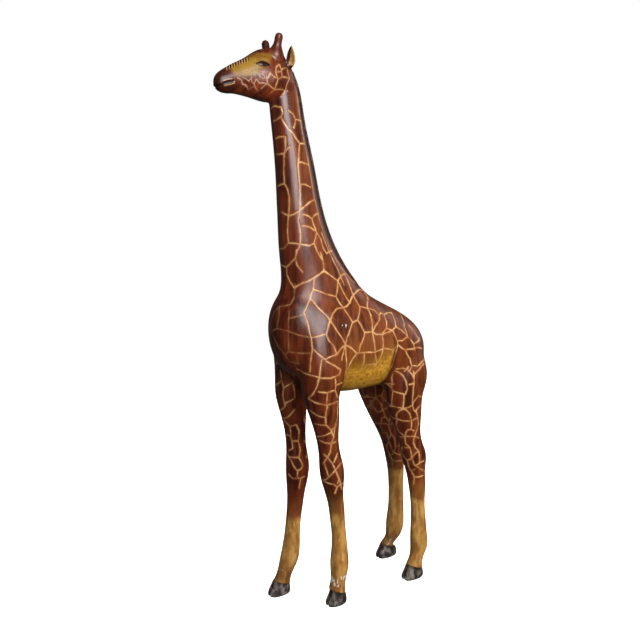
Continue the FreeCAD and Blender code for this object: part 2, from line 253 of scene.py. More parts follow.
NECK_LINES = """
-.91 1046 -.69 1049 -.44 1046 -.29 1045 -.23 1034 -.38 1028 -.57 1023 -.79 1021
-.38 1028 -.23 1016 -.04 1004 .17 996 .40 984 .53 978 .79 979
.09 1039 .41 1034 .51 1025 .47 1017 .31 1007
.51 1024 .83 1024
.53 978 .40 964 .27 946 .24 939 .16 925 .14 897 .04 867 \
-.04 847 -.15 828 -.17 800 -.25 778 -.35 768 -.48 753 -.5 735 -.4 722
.24 939 .49 941 .78 938
.14 897 .50 897 .72 893
-.78 988 -.5 990 -.25 989 -.34 969 -.45 956 -.54 925 \
-.57 898 -.45 886 -.42 871 -.46 851 -.53 833 -.60 808 -.62 780
-.82 957 -.45 956 -.28 964 -.1 970
-.88 895 -.57 898
-.78 843 -.53 834 -.26 838 .05 849 .40 858 .75 868
.04 838 .34 834 .5 829 .77 841
.5 829 .52 818 .57 803 .40 788 .30 779 .07 775 -.25 778 -.62 780 -.75 770 -.92 768
0 815 .33 811 .57 803
.74 802 .79 760 .79 722 .75 694
.30 779 .35 764 .42 744
.57 803 .66 788 .65 772 .70 759 .86 766
-.41 766 -.49 750 -.76 731 -.93 736
-.76 731 -.77 716 -.71 701 -.62 688
"""
FRONT_LEFT_LINES = """
0 548 -.1 512 -.22 493 -.39 478 -.67 466 -.4 459 .25 453 .9 457
.2 544 .6 533 .85 523 .77 514 .4 509 -.1 511
-.95 523 -.6 517 -.1 512
.62 507 .67 493 .68 482 .9 464
.67 493 .96 495
-.18 482 .25 479 .55 482 .68 482
.26 479 .25 453 .28 449 .14 427 .07 409 .4 398 .63 380 .34 367 .15 349 -.2 338 -.6 323
-.75 440 -.37 430 .14 426
-.72 410 .07 409
-.75 381 -.15 386 .34 391
-.65 374 -.17 369 .34 367 .8 369
.93 455 .92 430 .88 418 .7 402 .4 396
.9 409 .7 398 .63 380
-.5 343 -.15 337 .15 325 .35 310 .6 289 .45 280
.8 343 .35 327 .15 325
.93 321 .35 310 -.23 295 -.55 288 -.8 285
-.5 322 -.35 309 -.26 296
-.8 285 -.4 281 .12 278 .38 271 .65 275 .95 277
.6 289 .75 277
.38 271 .15 257
.72 276 .9 262
"""
FRONT_RIGHT_LINES = """
-.7 509 -.62 487 -.5 471 -.54 456 -.5 440 -.43 432 -.62 424 -.93 417
-.62 487 -.92 474
-.5 471 0 484
-.45 437 .1 446
.05 479 .2 450
.15 422 -.2 411 -.55 402 -.85 400 -.95 408
-.85 400 -.6 390 -.37 383 .2 388
-.37 383 -.42 362 -.4 353 -.35 350 .3 350
-.97 363 -.4 361
-.35 350 -.35 333 -.7 327
.2 388 .42 372 .3 350 .4 328 .22 313 -.75 313 -.95 321
.22 313 .4 303 .5 293 .3 286 0 283 -.3 293 -.5 305 -.75 313
0 283 .02 266 -.4 265 -.75 273
.02 266 .35 266 .67 268
.35 266 .3 243
"""
CHEST_LINES = """
-.75 651 -.86 637 -.91 616 -.88 599 -.73 607 -.7 634 -.75 651 -.47 655 -.42 668 -.45 697
-.73 607 -.45 603 -.19 595 .07 591
-.45 628 -.06 637
-.47 643 -.45 603 -.47 564
-.6 554 -.47 560 -.11 558 .07 560
-.6 554 -.52 539 -.24 535 -.29 551
-.88 597 -.73 568 -.6 554
"""
REAR_LEFT_LINES = """
-.77 474 -.55 462 -.5 456 .07 449 .17 462 .1 479 -.05 492 -.33 504 -.45 488 -.55 462
-.33 504 -.4 508
-.66 500 -.4 507 -.05 508 .18 505 .36 496 .5 484
.26 471 .5 474
.55 495 .75 503 .97 514
.48 500 .5 474 .47 445 .5 422 .55 431 .8 443 .97 439
-.5 456 -.56 440 -.62 425 -.75 419 -.92 428
0 448 -.05 422 -.03 416
-.75 420 -.55 421 -.03 417 .5 423
.75 409 .97 419
.5 422 .62 412 .8 404 .87 392
-.03 416 -.25 413 -.42 406 -.5 398 -.5 391 -.18 388 .4 387 .87 392 .93 375 .8 362 .55 350
-.03 416 .15 413 .32 404 .4 389
-.75 392 -.5 391
-.97 403 -.75 392
-.5 389 -.68 376 -.72 368 -.68 359 -.28 349
.42 387 .35 370 .3 366 .6 361
-.28 349 -.15 359 0 365 .3 366
-.7 345 -.28 349 .15 349 .5 348 .88 342
-.28 348 -.38 340 -.38 330 -.12 321 -.1 308 -.12 296 0 280 .35 272 .9 262
.5 348 .3 332 .38 321 .65 310
-.12 296 .1 304 .35 309 .62 311 .62 295 .5 281 .1 277
.6 284 .92 285
-.5 321 -.12 321
-.7 322 -.82 305 -.5 290 -.12 296
-.5 290 -.5 272 -.35 263 0 269
-.35 263 -.15 249 .3 248 .9 249
-.15 249 -.3 230
"""
CHEEK = """
-221 1123 -229 1116 -231 1105 -226 1094 -228 1083 -229 1075
-221 1123 -218 1114 -216 1099
-218 1114 -202 1121 -200 1111 -195 1101 -200 1092 -203 1080
-243 1102 -236 1097 -226 1094 -216 1099 -206 1101 -195 1101
-230 1106 -218 1109
-247 1083 -238 1078 -229 1075 -211 1078 -199 1077
-238 1066 -229 1075
-210 1066 -205 1076
-247 1083 -257 1073
-306 1086 -299 1084 -296 1077 -288 1075 -282 1070
-296 1088 -289 1086 -284 1083 -280 1090 -278 1082 -273 1080 -270 1088 -262 1082 -247 1083
-273 1080 -268 1073 -262 1069 -265 1063
-273 1075 -280 1069 -284 1064
-247 1083 -249 1091 -243 1102
"""


def strokes_of(text):
    for row in text.strip().splitlines():
        numbers = [float(v) for v in row.split()]
        yield list(zip(numbers[::2], numbers[1::2]))


# ------------------------------------------------------------------ the carved body as one skin
LEGS = ("front_left", "front_right", "rear_left", "rear_right")
CARVED = ["torso", "neck", "head"] + [leg + "_leg" for leg in LEGS] + [leg + "_hoof" for leg in LEGS]
HEAD_PARTS = ["left_horn", "right_horn", "left_ear", "right_ear"]
INSIDE = ["left_eye", "right_eye", "leg_dowels", "hoof_dowels", "neck_dowel", "head_dowel"]
skin = remeshed([nodes[n] for n in CARVED + HEAD_PARTS + INSIDE], VOXEL, "carving")
skin = largest_part(skin)

co, edges = mesh_arrays(skin)
P = co / MM - SHIFT
mane_co = mesh_arrays(nodes["mane"].data)[0] / MM - SHIFT
mane_tree = KDTree(len(mane_co))
for i, c in enumerate(mane_co.tolist()):
    mane_tree.insert(c, i)
mane_tree.balance()
near_mane = gap_to_mane(P, (P[:, 1] > -215) & (P[:, 2] > 660) & (np.abs(P[:, 0]) < 30))
is_head = step(1062, 1075, P[:, 2] - 0.62 * (P[:, 1] + 205))
soft = (0.15 + 0.85 * step(1.0, 9.0, near_mane)) * (1 - 0.75 * is_head) * step(2, 50, P[:, 2])
P = relax(P, edges, SOFTEN_ROUNDS, soft)
P = relax(P, edges, 3, 0.5 + 0.5 * step(2, 50, P[:, 2]))
barrel = step(415, 480, P[:, 2]) * step(860, 760, P[:, 2]) * step(3, 14, near_mane)
P = relax(P, edges, BARREL_ROUNDS, barrel)

# the head takes finer carving, so its skin gets twice the points
skin.vertices.foreach_set("co", ((P + SHIFT) * MM).astype(np.float32).ravel())
bm = bmesh.new()
bm.from_mesh(skin)
bm.verts.ensure_lookup_table()
inner = (P[:, 2] - 0.62 * (P[:, 1] + 205) > 1066) & (P[:, 2] > 1035)
fine = [e for e in bm.edges if inner[e.verts[0].index] and inner[e.verts[1].index]]
bmesh.ops.subdivide_edges(bm, edges=fine, cuts=1, use_grid_fill=True)
bm.to_mesh(skin)
bm.free()
co, edges = mesh_arrays(skin)
P = co / MM - SHIFT
x, y, z = P.T
is_head = step(1064, 1070, z - 0.62 * (y + 205))
P = relax(P, edges, 3, is_head)
N = normals_of(skin, (P + SHIFT) * MM)
x, y, z = P.T
near_mane = gap_to_mane(P, (y > -215) & (z > 660) & (np.abs(x) < 34))
ax = np.abs(x)
side = np.sign(x)

# ------------------------------------------------------------------ carving on the head
# lids and the hollow for the eye, one almond on each side
eu = (y + 256.5) / 14.5
ev = (z - 1116.5 - 1.2 * (1 - eu ** 2)) / 4.7
almond = 1 - np.sqrt(eu ** 2 + (ev / np.maximum(1 - 0.55 * eu ** 2, 0.2)) ** 2)
at_side = (ax > 8) * step(0.1, 0.4, side * N[:, 0]) * (y < -232) * (y > -285)
hollow = step(-0.05, 0.25, almond) * at_side
lid = np.exp(-((almond + 0.12) / 0.16) ** 2) * at_side
brow = np.exp(-(((y + 250) / 15) ** 2 + ((z - 1127.5) / 6) ** 2)) * at_side
under = np.exp(-(((y + 258) / 14) ** 2 + ((z - 1104) / 5) ** 2)) * at_side
P = P + N * (-3.2 * hollow + 1.0 * lid + 2.4 * brow - 1.2 * under)[:, None]


def to_path(path):
    """How far each point is, in the side view, from a polyline."""
    best = np.full(len(P), 1e9)
    for (y0, z0), (y1, z1) in zip(path, path[1:]):
        dy, dz = y1 - y0, z1 - z0
        t = np.clip(((y - y0) * dy + (z - z0) * dz) / (dy * dy + dz * dz), 0, 1)
        best = np.minimum(best, np.hypot(y - y0 - t * dy, z - z0 - t * dz))
    return best


muzzle = (y < -285) * 1.0
face_side = muzzle * step(0.15, 0.4, side * N[:, 0])
mouth = np.exp(-(to_path([(-352, 1068.5), (-343, 1069), (-336, 1070)]) / 1.2) ** 2) * muzzle
P -= N * (1.2 * mouth)[:, None]
nostril = np.exp(-(to_path([(-331, 1073.5), (-322, 1077), (-315, 1079)]) / 2.1) ** 2) * face_side
# the pale rims above and below the nostril are a painted highlight
upper_rim = to_path([(-333, 1077.5), (-325, 1081), (-317, 1083)])
lower_rim = to_path([(-330, 1069.5), (-320, 1072.5), (-312, 1076), (-312, 1079)])
nostril_rim_highlight = np.exp(-(np.minimum(upper_rim, lower_rim) / 0.9) ** 2)
nostril_rim_highlight = nostril_rim_highlight * face_side * 0.75
P = P - N * (1.3 * nostril)[:, None]
lip = np.exp(-((z - 1073.5) / 2.6) ** 2) * step(-333, -341, y)
P = P + N * (0.7 * lip)[:, None]
cheek = np.exp(-(((y + 222) / 22) ** 2 + ((z - 1090) / 16) ** 2)) * step(0.1, 0.5, side * N[:, 0])
P = P + N * (1.2 * cheek * is_head)[:, None]

# the foot of each horn spreads into the crown
for s in (1, -1):
    rise, out = along_axis(P, *horn(s))
    reach = np.linalg.norm(out, axis=1)
    flare = step(24, 2, rise) * step(-16, -2, rise) * step(24, 14, reach) * (z > 1128)
    P = P + out / np.maximum(reach, 1)[:, None] * (4.2 * flare)[:, None]

# ear hollow, open to the front and side
for s in (1, -1):
    base, along, length = ear(s)
    t, out = along_axis(P, base, along)
    off = np.linalg.norm(out, axis=1)
    face = N @ (np.array([0.62 * s, -0.78, 0.0]))
    cup = step(2, 10, t) * step(length + 6, length - 12, t) * step(9, 2.5, off) * step(0.35, 0.75, face)
    P = P - N * (2.2 * cup * (z > 1118))[:, None]

N = normals_of(skin, (P + SHIFT) * MM)
x, y, z = P.T

# ------------------------------------------------------------------ where the scored lines run
TUBES = {
    "neck": (56.5, [(640, 0, -81), (711, 0, -108), (765, 0, -131), (820, 0, -146), (875, 0, -156),
                    (945, 0, -167), (1000, 0, -177), (1085, 0, -190)]),
    "front_left": (53.6, [(229, 52, -97), (265, 53, -104), (322, 54, -112), (398, 55, -125),
                          (440, 56, -134), (545, 53, -134)]),
    "front_right": (57.0, [(208, -54, -131), (280, -54, -125), (345, -54, -129), (436, -56, -138),
                           (545, -53, -135)]),
    "chest": (55.6, [(500, 0, -135), (720, 0, -135)]),
    "rear_left": (46.0, [(195, 60, 137), (270, 60, 128), (318, 60, 117), (372, 59, 102),
                         (412, 58, 95), (515, 48, 101)]),
    "rear_right": (46.0, [(190, -62, 180), (265, -62, 171), (325, -61, 149), (368, -60, 129),
                          (420, -58, 108), (515, -48, 102)]),
}
polygons = [tuple(p.vertices) for p in skin.polygons]
surface = BVHTree.FromPolygons(P.tolist(), polygons)
samples = []
levels = []


def on_tube(name, u, height, turn=0.0, flip=1):
    middle, axis = TUBES[name]
    heights = [a[0] for a in axis]
    ox = np.interp(height, heights, [a[1] for a in axis])
    oy = np.interp(height, heights, [a[2] for a in axis])
    angle = math.radians(middle + turn) * flip + math.asin(max(-1.0, min(1.0, u))) * flip
    return (ox, oy, height), (math.sin(angle), -math.cos(angle), 0.0), angle


def lay(points, place, level=1.0, reach=160):
    """Samples one stroke about every 0.8 mm on the skin; place turns a chart point into a ray."""
    last = None
    for (a0, b0), (a1, b1) in zip(points, points[1:]):
        count = 14
        for k in range(count + 1):
            t = k / count
            ray = place(a0 + t * (a1 - a0), b0 + t * (b1 - b0))
            if ray is None:
                last = None
                continue
            origin, direction = ray[0], ray[1]
            hit = surface.ray_cast(Vector(origin), Vector(direction), reach)[0]
            if hit is None:
                hit = surface.find_nearest(Vector(origin) + Vector(direction) * 15)[0]
            if (hit - Vector(origin)).length > reach:
                last = None
                continue
            hit = np.array(hit)
            if last is not None:
                gap = np.linalg.norm(hit - last)
                if gap < 25:
                    for j in range(1, int(gap / 0.8) + 1):
                        samples.append(last + (hit - last) * j / (int(gap / 0.8) + 1))
            samples.append(hit)
            levels.extend([level] * (len(samples) - len(levels)))
            last = hit


def jitter(rows, du, dz, seed):
    """The same strokes, each corner moved a little, so the far side isn't a copy."""
    for row in rows:
        yield [(u + du * noise.noise(Vector((u * 3, h / 31, seed))),
                h + dz * noise.noise(Vector((h / 29, u * 3, seed + 5)))) for u, h in row]


for row in strokes_of(FLANK):
    lay(row, lambda a, b: ((0, a, b), (1, 0, 0)))
for row in jitter(strokes_of(FLANK), 9, 9, 3.0):
    lay(row, lambda a, b: ((0, a, b), (-1, 0, 0)))
for row in strokes_of(CHEEK):
    lay(row, lambda a, b: ((0, a, b), (1, 0, 0)), 0.85)
for row in jitter(strokes_of(CHEEK), 3, 3, 4.0):
    lay(row, lambda a, b: ((0, a, b), (-1, 0, 0)), 0.85)
for row in strokes_of(NECK_LINES):
    lay(row, lambda a, b: on_tube("neck", a + 0.5 * max(a - 0.6, 0.0), b))
for row in strokes_of(CHEST_LINES):
    lay(row, lambda a, b: on_tube("chest", a, b), 0.30)


def far_neck(a, b):
    origin, direction, angle = on_tube("neck", a, b, flip=-1)
    return (origin, direction) if angle < -math.radians(30) else None


for row in jitter(strokes_of(NECK_LINES), 0.12, 9, 7.0):
    lay(row, far_neck)
LEG_LINES = [
    ("front_left", FRONT_LEFT_LINES, 0, 1, 0, 0), ("front_left", FRONT_RIGHT_LINES, 180, 1, 8, 2),
    ("front_right", FRONT_RIGHT_LINES, 0, 1, 0, 0), ("front_right", FRONT_LEFT_LINES, 0, -1, 10, 3),
    ("rear_left", REAR_LEFT_LINES, 0, 1, 0, 0), ("rear_left", FRONT_RIGHT_LINES, 180, 1, 8, 4),
    ("rear_right", REAR_LEFT_LINES, 0, 1, 16, 5), ("rear_right", REAR_LEFT_LINES, 0, -1, 14, 6),
]
# the lines are drawn fainter on the right legs, most on the rear right, as painted shade on the far side
LEVEL = {"front_left": 1.0, "front_right": 0.8, "rear_left": 1.0, "rear_right": 0.5}
for leg, text, turn, flip, wobble, seed in LEG_LINES:
    rows = strokes_of(text)
    if wobble:
        rows = jitter(rows, wobble * 0.012, wobble, 10.0 + seed)
    for row in rows:
        lay(row, lambda a, b: on_tube(leg, a, b, turn, flip), LEVEL[leg], 66)

samples = np.array(samples)
samples = samples + 0.7 * np.stack([wave(samples, 13.0, k) for k in (1.0, 2.0, 3.0)], 1)
tree = KDTree(len(samples))
for i, c in enumerate(samples.tolist()):
    tree.insert(c, i)
tree.balance()
found = [tree.find(c)[1:] for c in P.tolist()]
line = np.array([f[1] for f in found])
level = np.array(levels)[[f[0] for f in found]]

# unseen stretches, such as the spine and the rump, get cells grown from scattered centres
seen = np.maximum(N @ [0.78, -0.63, 0.0], N @ [-0.78, -0.63, 0.0])
is_torso = step(480, 520, z) * step(760, 700, z)
size = 26 + 22 * step(430, 520, z)
order = rng.permutation(len(P))[:9000]
seeds = []
for i in order:
    if 250 < z[i] < 1050 and all((P[i][0] - s[0]) ** 2 + (P[i][1] - s[1]) ** 2
                                 + (0.75 * (P[i][2] - s[2])) ** 2 > size[i] ** 2 for s in seeds):
        seeds.append(P[i].tolist())
cells = KDTree(len(seeds))
for i, c in enumerate(seeds):
    cells.insert((c[0], c[1], c[2] * 0.75), i)
cells.balance()
limit = 9 + 10 * step(430, 520, z)
edge = np.where(x < 0, 0.50, 0.0)
open_ground = step(limit, limit + 5, line) * step(edge + 0.25, edge, seen) * (z > 250) * (z < 1050)
for i in np.nonzero(open_ground > 0.01)[0]:
    (a, _, d1), (b, _, d2) = cells.find_n((x[i], y[i], z[i] * 0.75), 2)
    border = (d2 * d2 - d1 * d1) / (2 * (a - b).length)
    border += 25 * (1 - open_ground[i])
    if border < line[i]:
        line[i], level[i] = border, 0.8
# a pale line runs down each side of the nape, and all behind it is painted nearly black: painted shade on the
# back of the neck
neck_y = np.interp(z, [711, 765, 820, 875, 945, 1000, 1085], [-108, -131, -146, -156, -167, -177, -190])
neck_x = np.interp(z, [711, 820, 945, 1085], [55, 42, 33, 26])
bearing = np.degrees(np.arctan2(ax, neck_y - y))
border = np.interp(z, [690, 720, 770, 830, 1000, 1060], [154, 139, 125, 118, 119, 124])
on_neck = step(684, 696, z) * (1 - is_head) * (y < 20)
nape = step(border + 5, border + 12, bearing) * on_neck
beside = np.abs(bearing - border) * neck_x * 0.0175 + 0.5 + 40 * (1 - on_neck)
level = np.where(beside < line, 0.85, level)
line = np.minimum(line, beside)

# ------------------------------------------------------------------ painted zones, 0 to 1 each
ragged = wave(P * (1, 1, 0.35), 16.0, 4.0)
mottle = wave(P, 30.0, 8.0)
front = y < 0
left = x > 0
tan_top = np.where(front, np.where(left, 203.0, 170.0), np.where(left, 192.0, 222.0))
bare = step(tan_top + 14, tan_top - 10, z + 9 * ragged)
shin = np.maximum(bare, np.where(left, 0.40, 0.15) * step(tan_top + 58, tan_top + 16, z + 9 * ragged))
# at the ankles the tan gives way to the red-brown stain, a little on the left legs and more on the right ones,
# where it also stands in for the shade those legs are in
ankle = np.exp(-((z - 44) / 15) ** 2) * np.where(left, 0.22, 0.60)
shin = shin * (1 - ankle)
crease = np.interp(z, [470, 500, 528, 548, 562], [30, 27, 27, 32, 40])
belly_top = np.interp(y, [-95, -30, 20, 40], [521, 527, 545, 552])
on_flank = step(-98, -88, y) * step(crease + 3, crease - 5, y)
on_flank = on_flank * step(belly_top + 26, belly_top - 24, z + 3 * mottle)
below = step(-0.1, -0.5, N[:, 2]) * step(-104, -92, y) * step(64, 50, y) * step(530, 510, z)
below = below * np.where(ax > 40, step(crease + 8, crease - 4, y), 1.0)
belly = np.maximum(on_flank, below) * (z > 440)
flank_warm = step(690, 540, z + 12 * mottle) * is_torso
flank_warm = flank_warm * step(-120, -90, y) * step(crease + 8, crease - 8, y)
# painted light: surfaces turned back and outward take a warmer, lighter stain, as where light from behind
# falls; the lower flank's warm airbrushing is paint
painted_light_facing_back = step(-0.25, 0.75, 0.6 * side * N[:, 0] + 0.8 * N[:, 1])
warm = np.maximum(flank_warm, 0.42 * painted_light_facing_back * step(1000, 960, z * is_head))
low_edge = np.interp(y, [-330, -320, -305, -288, -270, -262, -250], [1097, 1096, 1091, 1091, 1096, 1105, 1112])
outward = side * N[:, 0]
gold = (step(-322, -310, y + 2 * ragged) * step(low_edge - 3.5, low_edge + 3.5, z + 1.8 * ragged)
        * step(-240, -252, y - 0.55 * (z - 1118) + 2 * mottle) * step(0.90, 0.45, N[:, 2]) * is_head
        * step(1146, 1136, z))
phase = ((y + 0.45 * ax) / TICK_PITCH) % 1.0
on_ridge = (step(-328, -323, y) * step(-277, -283, y) * step(0.50, 0.60, N[:, 2]) * step(0.97, 0.90, N[:, 2])
            * step(0.1, 0.3, side * N[:, 0]) * is_head)
dark_marks_and_shade = on_ridge * (np.abs(phase - 0.5) < 0.27)
pale_marks_and_highlight = on_ridge * (np.abs(phase - 0.5) > 0.34) * 0.8
# painted shade: the nape band and a strip beside the mane go near-black
dark_marks_and_shade = np.maximum(dark_marks_and_shade, np.maximum(0.90 * nape, 0.95 * step(6.0, 4.0, near_mane)))
muzzle_dark = step(-304, -328, y) * is_head
# a pale grey smear on the cheeks: partly scuffs, partly a painted sheen
cheek_scuffs_and_sheen = (np.exp(-((y + 257) / 17) ** 2 - ((z - 1095) / 8) ** 2) * is_head * step(0.2, 0.5, outward)
        * step(-0.5, 0.5, wave(P, 6.0, 6.0) + 0.2))
for s in (1, -1):
    rise, out = along_axis(P, *horn(s))
    reach = np.linalg.norm(out, axis=1)
    muzzle_dark = np.maximum(muzzle_dark, step(-6, 14, rise) * step(24, 15, reach) * (z > 1128) * 0.7)
ink = (1 - bare) * (1 - 0.85 * belly) * step(tan_top - 2, tan_top + 26, z)
ink = ink * (1 - is_head) + is_head * step(-312, -306, y) * (1 - gold) * step(-0.75, -0.4, N[:, 2])
ink = ink * level * (1 - 0.35 * is_head * step(-236, -252, y))
shape_of_line = line + 0.75 * wave(P, 11.0, 1.0) + 0.35 * wave(P, 4.0, 2.0) + 0.35 * is_head
groove = np.exp(-(np.maximum(shape_of_line, 0) / GROOVE_WIDTH) ** 2) * ink
P = P - N * (GROOVE_DEPTH * groove)[:, None]

dark = np.zeros(len(P))
HOOVES = {"front_left": (48, -92, 24), "front_right": (-60, -171, 26),
          "rear_left": (58, 126, 28.5), "rear_right": (-64, 151, 29)}
planes = {}
for leg, (hx, hy, half) in HOOVES.items():
    slope = 16.0 / (2 * half)
    planes[leg] = ((hy + 2.5, 28.0), (slope, 1.0))
    near = (np.abs(x - hx) < 34) & (np.abs(y - hy) < 48) & (z < 70)
    height = z - (28.0 - slope * (y - hy - 2.5))
    dark = np.where(near, step(2.5, -1.0, height + 1.2 * ragged), dark)
pastern = np.exp(-(((z - 54) / 26) ** 2)) * front
pastern = pastern * np.where(left, 1.0, 0.45) * (1 - dark)
chip = np.exp(-(((y + 97) / 9) ** 2 + ((z - 612) / 6) ** 2)) * left
worn = np.maximum(pastern, chip)
# the cleft between each hoof's toes is cut in and painted near-black, as painted shade in the groove
cleft = np.zeros(len(P))
for hx, hy, half in HOOVES.values():
    seam = np.exp(-((x - hx) / CLEFT_WIDTH) ** 2) * (np.abs(y - hy) < 48)
    cleft = np.maximum(cleft, seam * dark * step(-0.1, -0.4, N[:, 1]))
P = P - N * (CLEFT_DEPTH * cleft)[:, None]
coronet = 3.2 * dark * (1 - dark)
# painted shade in the crease between belly and thigh, darker further down
painted_crease_shade = np.exp(-((y - crease - 5) / 8) ** 2) * step(566, 540, z) * (z > 440) * (y > -60) * (ax > 30)
ear_side = np.zeros(len(P))
ear_back = np.zeros(len(P))
for s in (1, -1):
    base, along, length = ear(s)
    t, out = along_axis(P, base, along)
    off = np.linalg.norm(out, axis=1)
    facing = N @ np.array([0.75 * s, -0.55, 0.0])
    here = (t > -7) * (off < 15) * (z > 1114) * (y > -214) * (ax > 22)
    across = out @ np.array([0.581 * s, 0.814, 0.0])
    tan_part = step(-5.0 + 0.12 * t, -3.0 + 0.12 * t, across) * step(2, 6, t) * step(0.1, 0.35, facing)
    ear_side = np.maximum(ear_side, here * tan_part)
    ear_back = np.maximum(ear_back, here * (1 - tan_part) * step(-6, -1, t))
eye_dark = step(-0.1, 0.1, almond) * at_side
# the eye almond is painted dark; the mouth and nostril grooves are painted near-black as painted shade in them
eye_paint_and_slot_shade = np.max([nostril, mouth, eye_dark], axis=0)
# near-black: the nose ticks, the backs of the ears and the coronet lines, with painted shade in the hoof
# clefts and the belly fold
dark_marks_and_shade = np.max([dark_marks_and_shade, ear_back * 0.8, cleft, coronet, 0.55 * painted_crease_shade], axis=0)
pale_ink = is_head * step(-236, -252, y)
put_attribute(skin, "line", shape_of_line)
zones = {
    "ink": ink, "gold": np.maximum(gold, belly), "shin": shin, "dark": dark, "worn": worn,
    "muzzle": muzzle_dark, "ear": ear_side, "dark_marks_and_shade": dark_marks_and_shade,
    "pale_marks_and_highlight": np.maximum(pale_marks_and_highlight, nostril_rim_highlight), "warm": warm, "pale_ink": pale_ink,
    "cheek_scuffs_and_sheen": cheek_scuffs_and_sheen, "belly": belly, "slot": eye_paint_and_slot_shade,
}
for name, values in zones.items():
    put_attribute(skin, name, np.clip(values, 0, 1))
skin.vertices.foreach_set("co", ((P + SHIFT) * MM).astype(np.float32).ravel())
skin.update()


# ------------------------------------------------------------------ materials
class Nodes:
    """A short way to write shader nodes; inputs may be numbers, colours or other nodes' outputs."""

    def __init__(self, name):
        self.mat = bpy.data.materials.new(name)
        self.mat.use_nodes = True
        self.tree = self.mat.node_tree
        self.shader = self.tree.nodes["Principled BSDF"]

    def put(self, socket, value):
        if isinstance(value, bpy.types.NodeSocket):
            self.tree.links.new(value, socket)
        elif isinstance(value, tuple) and len(value) == 3 and socket.type == "RGBA":
            socket.default_value = (*value, 1.0)
        else:
            socket.default_value = value

    def attribute(self, name):
        node = self.tree.nodes.new("ShaderNodeAttribute")
        node.attribute_name = name
        return node.outputs["Fac"]

    def math(self, operation, a, b=0.0, clamp=False):
        node = self.tree.nodes.new("ShaderNodeMath")
        node.operation = operation
        node.use_clamp = clamp
        self.put(node.inputs[0], a)
        self.put(node.inputs[1], b)
        return node.outputs[0]

    def ramp(self, value, low, high, to_low=0.0, to_high=1.0, smooth=True):
        node = self.tree.nodes.new("ShaderNodeMapRange")
        node.interpolation_type = "SMOOTHSTEP" if smooth else "LINEAR"
        for socket, v in zip(node.inputs, (value, low, high, to_low, to_high)):
            self.put(socket, v)
        return node.outputs[0]

    def mix(self, factor, a, b, blend="MIX"):
        node = self.tree.nodes.new("ShaderNodeMix")
        node.data_type = "RGBA"
        node.blend_type = blend
        self.put(node.inputs["Factor"], factor)
        self.put(node.inputs[6], a)
        self.put(node.inputs[7], b)
        return node.outputs[2]

    def place(self, stretch=(1, 1, 1)):
        coordinate = self.tree.nodes.new("ShaderNodeTexCoord")
        mapping = self.tree.nodes.new("ShaderNodeMapping")
        mapping.inputs["Scale"].default_value = stretch
        self.tree.links.new(coordinate.outputs["Object"], mapping.inputs["Vector"])
        return mapping.outputs["Vector"]

    def height(self):
        split = self.tree.nodes.new("ShaderNodeSeparateXYZ")
        self.tree.links.new(self.place(), split.inputs[0])
        return split.outputs["Z"]

    def noise(self, scale, detail=3.0, stretch=(1, 1, 1), rough=0.55):
        node = self.tree.nodes.new("ShaderNodeTexNoise")
        node.inputs["Scale"].default_value = scale
        node.inputs["Detail"].default_value = detail
        node.inputs["Roughness"].default_value = rough
        self.tree.links.new(self.place(stretch), node.inputs["Vector"])
        return node.outputs["Fac"]

    def bump(self, height, strength, distance):
        node = self.tree.nodes.new("ShaderNodeBump")
        node.inputs["Strength"].default_value = strength
        node.inputs["Distance"].default_value = distance
        self.tree.links.new(height, node.inputs["Height"])
        self.tree.links.new(node.outputs["Normal"], self.shader.inputs["Normal"])

    def finish(self, color, roughness, coat=0.0, coat_roughness=0.1, specular=0.5):
        self.put(self.shader.inputs["Base Color"], color)
        self.put(self.shader.inputs["Roughness"], roughness)
        if coat is not None:
            self.shader.inputs["Coat Weight"].default_value = coat
        self.shader.inputs["Coat Roughness"].default_value = coat_roughness
        self.shader.inputs["Specular IOR Level"].default_value = specular
        return self.mat


DARK_STAIN = (0.022, 0.0038, 0.0016)
RED_STAIN = (0.098, 0.0165, 0.0038)
WARM_STAIN = (0.185, 0.043, 0.009)
LINE_TAN = (0.43, 0.262, 0.110)
BELLY_GOLD = (0.135, 0.072, 0.0050)
SHIN_TAN = (0.365, 0.200, 0.050)
HOOF_GREY = (0.028, 0.024, 0.021)


